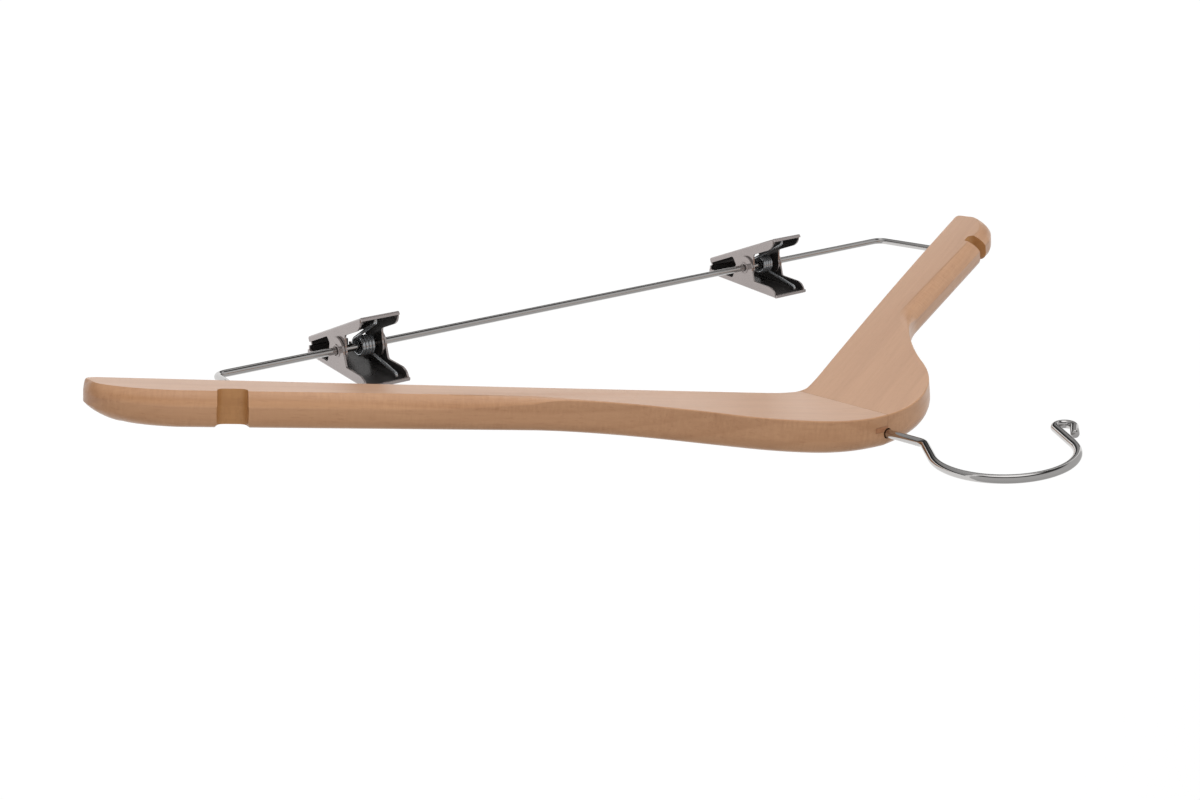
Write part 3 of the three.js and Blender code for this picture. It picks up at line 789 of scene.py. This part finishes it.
hookPath, hookTaper = roundedEnds(hookLine(), hook["wire"], startEnd=False)
headBase = hookPath[0].z - hook["headHeight"]
headHeights = [headBase, headBase + hook["headEase"]] + [hookPath[0].z - below for below in hook["headNeck"]]
headPath = [Vector((0, 0, height)) for height in headHeights]
headTaper = [hook["head"] / hook["wire"] * share for share in hook["headShares"]]
hookPiece = sweptWire("hookWire", headPath + hookPath, hook["wire"], hook["sides"], finishes["wireChrome"],
                      headTaper + hookTaper)
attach(hookPiece, "hook")
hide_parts("hook")


# trouser bar

barLine = bentThrough([legTop(-1, 0), barBend(-1), barBend(1), legTop(1, 0)], bar["bend"], bar["bendSteps"])
barPath, barTaper = roundedEnds(barLine, bar["wire"])
barPiece = sweptWire("trouserBar", barPath, bar["wire"], bar["sides"], finishes["wireChrome"], barTaper)
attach(barPiece, "arms")
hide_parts("trouser_bar")
print("hook and bar made")


# clips

clips = {
    "places": {"right": 114.9, "left": -91.8}, "lean": 5.5, "angle": 12.8, "width": 18.6, "sheet": 0.8,
    "pivotDepth": 8.7, "jaw": 23.1, "handle": 21.8, "lip": 1.5, "jawGap": -0.04,
    "jawFlange": 2.3, "jawRows": (-18, -14, -10, -7.6),
    "handleFlange": 4.2, "handleRows": (9.5, 12), "flangeRound": 4.6,
    "ear": 5.2, "earRoot": 1.6, "earGap": 0.3, "earFillet": (0.6, -0.1, -0.5), "earFilletRise": 1.4,
    "earRows": (0.25, 0.5, 0.75), "fold": 1.0, "endFold": 0.9, "corner": 0.25,
    "lipEdge": 0.1, "lipEdgeArea": 4e-6, "lipEdgeTurn": 0.9,
    "hole": 1.6, "holeSides": 32, "rimRadius": 2.25, "rimWire": 0.75, "rimSteps": 40, "rimSides": 12,
    "steps": {"flat": 5, "fold": 7, "flange": 8, "fillet": 5, "ear": 28, "flangeRound": 18, "endFold": 6},
    "sharp": 34,
}


def earFoot(flange):
    # from a flange over a small fillet up towards the ear
    ear = clips["ear"]
    far, bend, near = (ear + clips["earRoot"] + shift for shift in clips["earFillet"])
    high = flange + clips["earFilletRise"]
    fillet = bezier([(far, flange), (bend, flange), (near, high)], clips["steps"]["fillet"])
    run = [(near + (ear - near) * t, high + (clips["pivotDepth"] - high) * t) for t in clips["earRows"]]
    return [tuple(p) for p in fillet] + run


def flangeRows():
    # distance along the plate from the bar, and how far its flange stands in
    ear, depth, high, steps = clips["ear"], clips["pivotDepth"], clips["handleFlange"], clips["steps"]
    end, reach = clips["handle"] - clips["endFold"], clips["flangeRound"]
    rows = [(z, clips["jawFlange"]) for z in (clips["endFold"] - clips["jaw"], *clips["jawRows"])]
    rows += [(-z, rise) for z, rise in earFoot(clips["jawFlange"])]
    for k in range(steps["ear"] + 1):
        turn = math.pi * k / steps["ear"]
        rows.append((-ear * math.cos(turn), depth + ear * math.sin(turn)))
    rows += reversed(earFoot(high))
    rows += [(z, high) for z in clips["handleRows"]]
    for k in range(steps["flangeRound"]):
        turn = math.pi / 2 * k / steps["flangeRound"]
        rows.append((end - reach + reach * math.sin(turn), high * math.cos(turn)))
    return rows + [(end, 0.0)]


def halfSection(width, height):
    # from the plate's middle out over the fold and up the flange: across, inwards
    fold, flat, steps = clips["fold"], width / 2 - clips["fold"], clips["steps"]
    line = [(flat * k / steps["flat"], 0.0) for k in range(steps["flat"] + 1)]
    for k in range(1, steps["fold"] + 1):
        turn = math.acos(max(0.0, 1 - height / fold)) * k / steps["fold"]
        line.append((flat + fold * math.sin(turn), fold * (1 - math.cos(turn))))
    (x, y), rise = line[-1], max(0.0, height - fold)
    return line + [(x, y + rise * k / steps["flange"]) for k in range(1, steps["flange"] + 1)]


def endLip(along, side, depth, halfWidth):
    # rows of the end turned inwards, past the flat of the plate
    fold, steps = clips["endFold"], clips["steps"]["endFold"]
    rows = []
    for k in range(1, steps + 1):
        turn = math.pi / 2 * k / steps
        rows.append((along + side * fold * math.sin(turn), fold * (1 - math.cos(turn))))
    rows.append((along + side * fold, fold + (depth - fold) * 0.5))
    rows.append((along + side * fold, depth))
    return [[(x, inward, z) for x in halfWidth] for z, inward in rows]


def jawPlate(width):
    rows = []
    for z, height in flangeRows():
        half = [(x, y, z) for x, y in halfSection(width, height)]
        rows.append([(-x, y, z) for x, y, z in reversed(half[1:])] + half)
    columns, last = len(rows[0]), len(rows) - 1
    closing = clips["pivotDepth"] - clips["jaw"] * math.tan(math.radians(clips["angle"])) - clips["jawGap"] / 2
    webLow, webHigh = (columns // 2 + k * clips["steps"]["flat"] for k in (-1, 1))  # the flat between the folds
    points = [p for row in rows for p in row]
    faces = gridFaces(len(rows), columns)

    def addLip(baseRow, lipRows):
        before = [baseRow * columns + k for k in range(webLow, webHigh + 1)]
        for row in lipRows:
            now = [len(points) + k for k in range(len(row))]
            points.extend(row)
            faces.extend((before[k], before[k + 1], now[k + 1], now[k]) for k in range(len(row) - 1))
            before = now

    web = [rows[0][k][0] for k in range(webLow, webHigh + 1)]
    spread = (width / 2 - clips["corner"]) / web[-1]
    addLip(0, endLip(rows[0][0][2], -1, closing, web))
    addLip(last, endLip(rows[last][0][2], 1, clips["lip"], [x * spread for x in web]))
    return [Vector((x, y - clips["pivotDepth"], z)) for x, y, z in points], faces


def clipPlace(place):
    skew, lean = math.atan(bar["skew"] / bar["span"]), math.radians(clips["lean"])
    shift = Matrix.Translation((place, -barForward(place), -bar["drop"]))
    return shift @ Matrix.Rotation(skew, 4, "Z") @ Matrix.Rotation(lean, 4, "X")


def clipMatrix(place, back):
    angle = math.radians(clips["angle"])
    if back:
        return clipPlace(place) @ (Matrix.Rotation(-angle, 4, "X") @ Matrix.Rotation(math.pi, 4, "Z"))
    return clipPlace(place) @ Matrix.Rotation(angle, 4, "X")


def makeJaw(name, place, back):
    width = clips["width"] if back else clips["width"] - 2 * (clips["sheet"] + clips["earGap"])
    matrix = clipMatrix(place, back)
    inverse, inwards = matrix.inverted(), matrix.to_3x3() @ Vector((0, 1, 0))
    points, faces = jawPlate(width)
    obj = outwards(meshObject(name, [matrix @ p for p in points], faces))
    outside = matrix @ Vector((0, -clips["pivotDepth"], 0))
    middle = min(obj.data.polygons, key=lambda face: (face.center / mm - vPoint - outside).length)
    if middle.normal.dot(inwards) > 0:
        obj.data.flip_normals()
    wall = obj.modifiers.new("wall", "SOLIDIFY")
    wall.thickness = clips["sheet"] * mm
    wall.offset = -1
    wall.use_even_offset = True
    wall.material_offset = 1  # the inner faces get a near-black finish: painted shade for the dark inside of the clip
    for finish in ("clipChrome", "clipPaintedShade"):
        obj.data.materials.append(finishes[finish])
    settle(obj)
    lipTop = clips["sheet"] + clips["lipEdge"] - clips["jaw"]
    for face in obj.data.polygons:  # painted shade on the lips' ends too
        low = (inverse @ (face.center / mm - vPoint)).z < lipTop and face.area < clips["lipEdgeArea"]
        if low and abs(face.normal.dot(inwards)) > clips["lipEdgeTurn"]:
            face.material_index = 1
    ends = [matrix @ Vector((s * width, 0, 0)) for s in (-1, 1)]
    cutWith(obj, rodObject("earHole", *ends, clips["hole"], clips["holeSides"]))
    return smoothFaces(obj, clips["sharp"])


def addRims(obj, name, place):
    # a low turned-up rim round each outer ear hole
    matrix, radius, steps = clipMatrix(place, True), clips["rimRadius"], clips["rimSteps"]
    turns = [2 * math.pi * k / steps for k in range(steps)]
    for side in (-1, 1):
        ring = [matrix @ Vector((side * clips["width"] / 2, radius * math.cos(t), radius * math.sin(t)))
                for t in turns]
        rim = sweptWire(f"{name}Rim", ring, clips["rimWire"], clips["rimSides"], finishes["clipChrome"],
                        closed=True)
        work = bmesh.new()
        work.from_mesh(obj.data)
        work.from_mesh(rim.data)
        work.to_mesh(obj.data)
        work.free()
        bpy.data.objects.remove(rim)


springs = {"wire": 1.3, "radius": 3.3, "pitch": 1.75, "cadTurns": 3, "turns": 4, "contact": 18.0, "foot": 0.6,
           "seat": 0.3, "shift": 2.6, "coilSteps": 150, "legSteps": 10, "sides": 14}


def springLine(place):
    # foot and leg on the front plate, close coil round the bar, leg and foot on the back plate
    wire, radius, steps, legSteps = (springs[key] for key in ("wire", "radius", "coilSteps", "legSteps"))
    inset = clips["pivotDepth"] - clips["sheet"] - springs["seat"]
    tilt = math.radians(clips["angle"])

    def at(along, outward):
        return Vector((-along * math.sin(tilt) - outward * math.cos(tilt),
                       along * math.cos(tilt) - outward * math.sin(tilt)))

    foot = at(springs["contact"], inset)
    ankle = at(springs["contact"], inset - springs["foot"] - wire / 2)
    leave = math.atan2(ankle.y, ankle.x) + math.acos(radius / ankle.length)
    part = 3 * math.pi - 2 * leave
    length = springs["pitch"] * (springs["cadTurns"] + part / (2 * math.pi))
    sweep = 2 * math.pi * springs["turns"] + part
    first, last = length / 2 - springs["shift"], -length / 2 - springs["shift"]
    coil = []
    for i in range(steps + 1):
        along, turn = first + (last - first) * i / steps, leave + sweep * i / steps
        coil.append(Vector((along, radius * math.cos(turn), radius * math.sin(turn))))
    frontLeg = bentThrough([(first, foot.x, foot.y), (first, ankle.x, ankle.y), coil[0]], wire, legSteps)
    backLeg = bentThrough([coil[-1], (last, -ankle.x, ankle.y), (last, -foot.x, foot.y)], wire, legSteps)
    matrix = clipPlace(place)
    line = [matrix @ p for p in frontLeg[:-1] + coil + backLeg[1:]]
    return line, matrix @ Vector((first, 0, 0)), matrix @ Vector((last, 0, 0))


def makeClip(side):
    place = clips["places"][side]
    front = makeJaw(f"{side}ClipFront", place, False)
    back = makeJaw(f"{side}ClipBack", place, True)
    addRims(back, f"{side}Clip", place)
    line, start, end = springLine(place)
    path, taper = roundedEnds(line, springs["wire"])
    spring = sweptWire(f"{side}ClipSpring", path, springs["wire"], springs["sides"], finishes["springSteel"], taper)
    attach(front, f"{side}_clip_front")
    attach(back, f"{side}_clip_back")
    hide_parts(f"{side}_clip_front_jaw")
    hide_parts(f"{side}_clip_back_jaw")
    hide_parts(f"{side}_clip_spring")
    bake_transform(spring)
    print(side, "clip made:", len(front.data.polygons), len(back.data.polygons), "faces")


makeClip("right")
makeClip("left")

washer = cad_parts["hook_washer"]
washer.data.materials.clear()
washer.data.materials.append(finishes["washerSteel"])


# floor, light and camera, in metres

studio = {
    "floor": -0.62, "floorSize": 6.0, "floorColour": (0.93, 0.93, 0.925, 1), "floorRough": 0.9,
    "glow": 1.08, "glowShare": 0.85,
    "cardNear": -0.135, "cardFar": -1.2, "cardWidth": 2.4, "cardLevel": -0.42,
    "cardTones": [(0.0, 0.02), (0.1, 0.03), (0.18, 0.4), (1.0, 0.5)],
    "wallTones": [(0.0, 0.7), (0.5, 0.8), (0.82, 0.8), (0.88, 0.07), (0.95, 0.07), (0.98, 2.0)],
    "wallSeen": (1.4, 1.4, 1.4, 1.0), "wallStrength": 0.72,
    "lightTarget": (0, 0, -0.15),
    "lights": {"keyLight": {"place": (-0.3, -1.3, 0.35), "size": 1.2, "power": 10.5},
               "fillLight": {"place": (0.9, -0.5, 0.9), "size": 1.0, "power": 3.5}},
    "lens": 46.13, "sensor": 36, "clipStart": 0.01, "viewPlace": (0.39690, -0.15644, 0.27383),
    "viewRight": (-0.78298, 0.02869, 0.62138), "viewUp": (-0.19068, -0.96191, -0.19586),
}


def stageSheet(name, halfWidth, front, back, level):
    corners = ((-halfWidth, front), (halfWidth, front), (halfWidth, back), (-halfWidth, back))
    mesh = bpy.data.meshes.new(name)
    mesh.from_pydata([(x, y, level) for x, y in corners], [], [(0, 1, 2, 3)])
    material = bpy.data.materials.new(name)
    material.use_nodes = True
    mesh.materials.append(material)
    return addObject(name, mesh), material.node_tree


def makeFloor():
    half = studio["floorSize"] / 2
    floor, tree = stageSheet("floor", half, -half, half, studio["floor"])
    shader = tree.nodes["Principled BSDF"]
    shader.inputs["Base Color"].default_value = studio["floorColour"]
    shader.inputs["Roughness"].default_value = studio["floorRough"]
    glow = tree.nodes.new("ShaderNodeEmission")
    glow.inputs["Strength"].default_value = studio["glow"]
    seen = tree.nodes.new("ShaderNodeLightPath")
    mix = tree.nodes.new("ShaderNodeMixShader")
    share = mathNode(tree, "MAXIMUM", seen.outputs["Is Camera Ray"], seen.outputs["Is Glossy Ray"])
    share = mathNode(tree, "MAXIMUM", share, seen.outputs["Is Transmission Ray"])
    tree.links.new(mathNode(tree, "MULTIPLY", share, studio["glowShare"]), mix.inputs["Fac"])
    linkAll(tree, ((shader, "BSDF", mix, 1), (glow, "Emission", mix, 2),
                   (mix, "Shader", tree.nodes["Material Output"], "Surface")))


def makeWorld():
    # walls with a dark band towards the front, for the metal to mirror; the camera sees them white
    world = bpy.data.worlds.new("studio")
    bpy.context.scene.world = world
    world.use_nodes = True
    tree = world.node_tree
    background = tree.nodes["Background"]
    split = tree.nodes.new("ShaderNodeSeparateXYZ")
    tree.links.new(tree.nodes.new("ShaderNodeTexCoord").outputs["Generated"], split.inputs[0])
    toFront = mathNode(tree, "ADD", mathNode(tree, "MULTIPLY", split.outputs["Y"], -0.5), 0.5)
    walls = ramp(tree, toFront, studio["wallTones"])
    seen = tree.nodes.new("ShaderNodeLightPath")
    shown = mixColour(tree, seen.outputs["Is Camera Ray"], walls, studio["wallSeen"])
    tree.links.new(shown, background.inputs["Color"])
    background.inputs["Strength"].default_value = studio["wallStrength"]


def makeShadeCard():
    # a grey card below the front, darkest at its near edge, for the metal to mirror; nothing else sees it
    near, far = studio["cardNear"], studio["cardFar"]
    card, tree = stageSheet("shadeCard", studio["cardWidth"] / 2, far, near, studio["cardLevel"])
    split = tree.nodes.new("ShaderNodeSeparateXYZ")
    tree.links.new(tree.nodes.new("ShaderNodeTexCoord").outputs["Object"], split.inputs[0])
    away = mathNode(tree, "DIVIDE", mathNode(tree, "SUBTRACT", near, split.outputs["Y"]), near - far)
    shader = tree.nodes["Principled BSDF"]
    tree.links.new(ramp(tree, away, studio["cardTones"]), shader.inputs["Base Color"])
    shader.inputs["Roughness"].default_value = 1.0
    card.visible_camera = False
    card.visible_diffuse = False
    card.visible_transmission = False
    card.visible_shadow = False


def makeLight(name, place, size, power):
    light = bpy.data.lights.new(name, "AREA")
    light.shape = "SQUARE"
    light.size = size
    light.energy = power
    obj = addObject(name, light)
    obj.visible_glossy = False  # the metal mirrors the walls and the floor, not the lamps
    obj.location = place
    way = Vector(studio["lightTarget"]) - Vector(place)
    obj.rotation_euler = way.to_track_quat("-Z", "Y").to_euler()


def makeCamera():
    camera = bpy.data.cameras.new("photoView")
    camera.sensor_fit = "HORIZONTAL"
    camera.sensor_width = studio["sensor"]
    camera.lens = studio["lens"]
    camera.clip_start = studio["clipStart"]
    obj = addObject("photoView", camera)
    right, up = Vector(studio["viewRight"]), Vector(studio["viewUp"])
    turn = Matrix((right, up, right.cross(up))).transposed()
    obj.matrix_world = Matrix.Translation(studio["viewPlace"]) @ turn.to_4x4()
    bpy.context.scene.camera = obj


makeFloor()
makeShadeCard()
makeWorld()
for name, settings in studio["lights"].items():
    makeLight(name, **settings)
makeCamera()
bpy.context.scene.view_settings.view_transform = "Standard"
print("floor, light and camera set")
